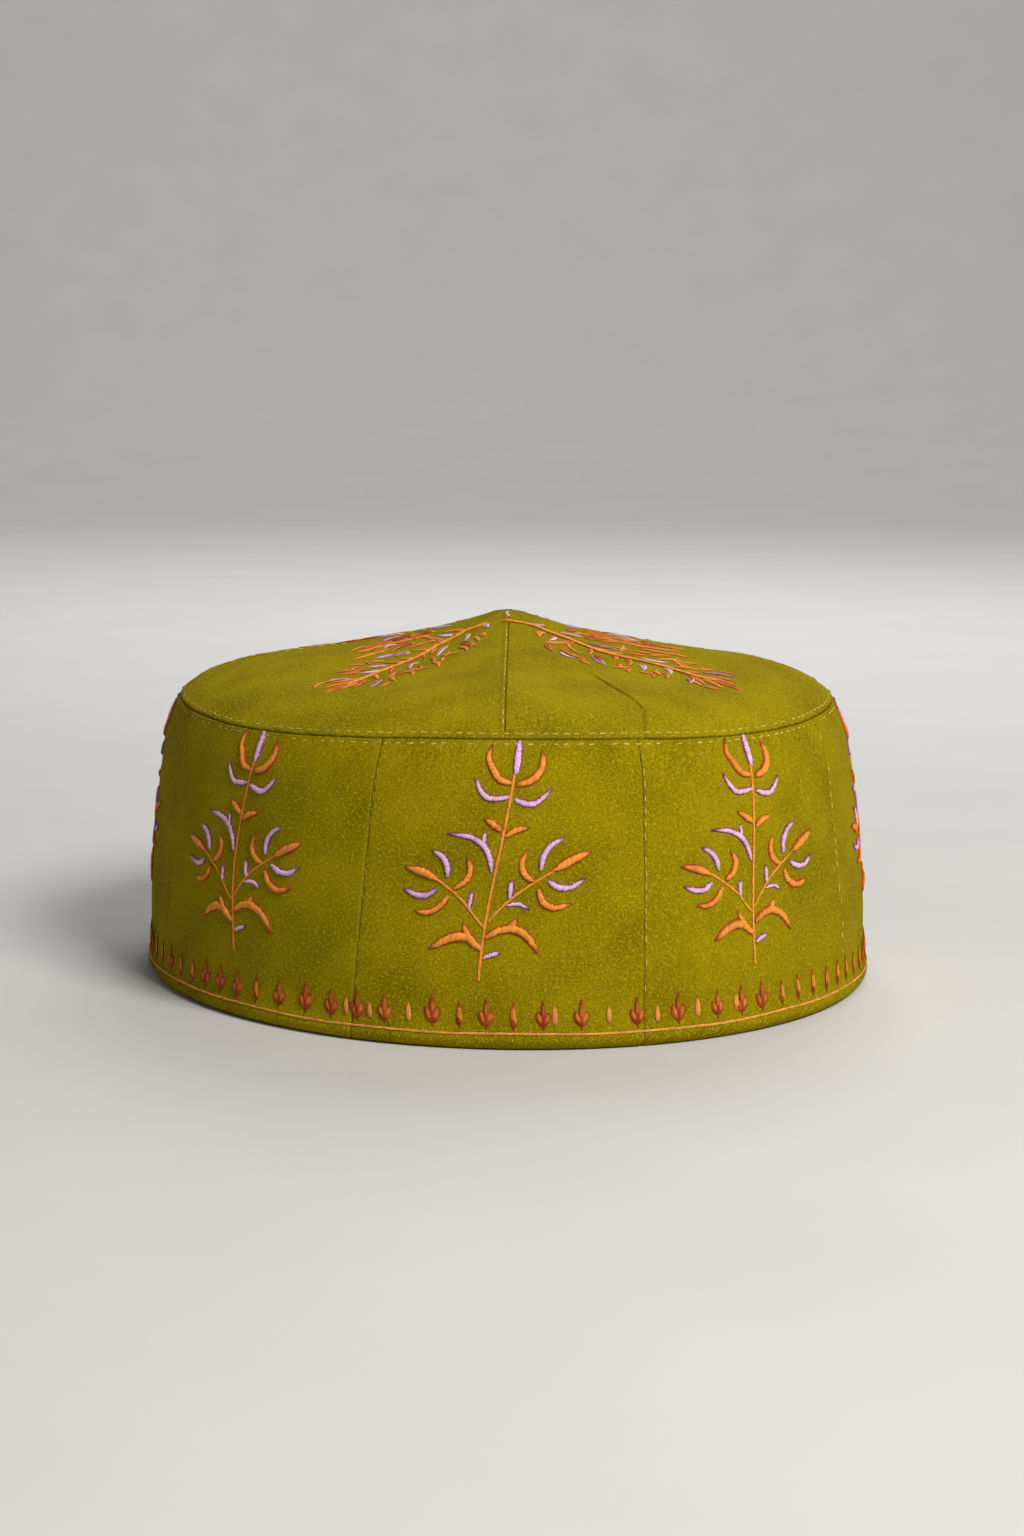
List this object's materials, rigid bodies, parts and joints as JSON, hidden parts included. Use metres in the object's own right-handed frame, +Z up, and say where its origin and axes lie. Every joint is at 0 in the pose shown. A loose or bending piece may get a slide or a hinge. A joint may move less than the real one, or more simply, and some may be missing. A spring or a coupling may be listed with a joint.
{
  "type": "tubeteika skullcap",
  "caption": "Low round embroidered cloth skullcap: an upright panelled band with a turned-up hem under a shallow, slightly pointed gored crown, open below for the head.",
  "frame": {"origin": "middle of the head opening, on the surface that the hem stands on", "axes": "+Z up through the point of the crown; the front panel faces -Y and the wearer's left is +X"},
  "size_m": [0.1864, 0.1864, 0.0916],
  "materials": {
    "cap_cloth": "brushed lime-green cotton with a fine crinkled face",
    "orange_thread": "padded satin stitch in orange cotton with rust-brown rims",
    "lilac_thread": "padded satin stitch in lilac cotton with purple rims",
    "seam_thread": "pale yellow sewing thread"
  },
  "bodies": {
    "root": {"band_panel_1": "cap_cloth", "band_panel_2": "cap_cloth", "band_panel_3": "cap_cloth", "band_panel_4": "cap_cloth", "band_panel_5": "cap_cloth", "band_panel_6": "cap_cloth", "band_panel_7": "cap_cloth", "band_panel_8": "cap_cloth", "crown_gore_1": "cap_cloth", "crown_gore_2": "cap_cloth", "crown_gore_3": "cap_cloth", "crown_gore_4": "cap_cloth"}
  },
  "joints": []
}
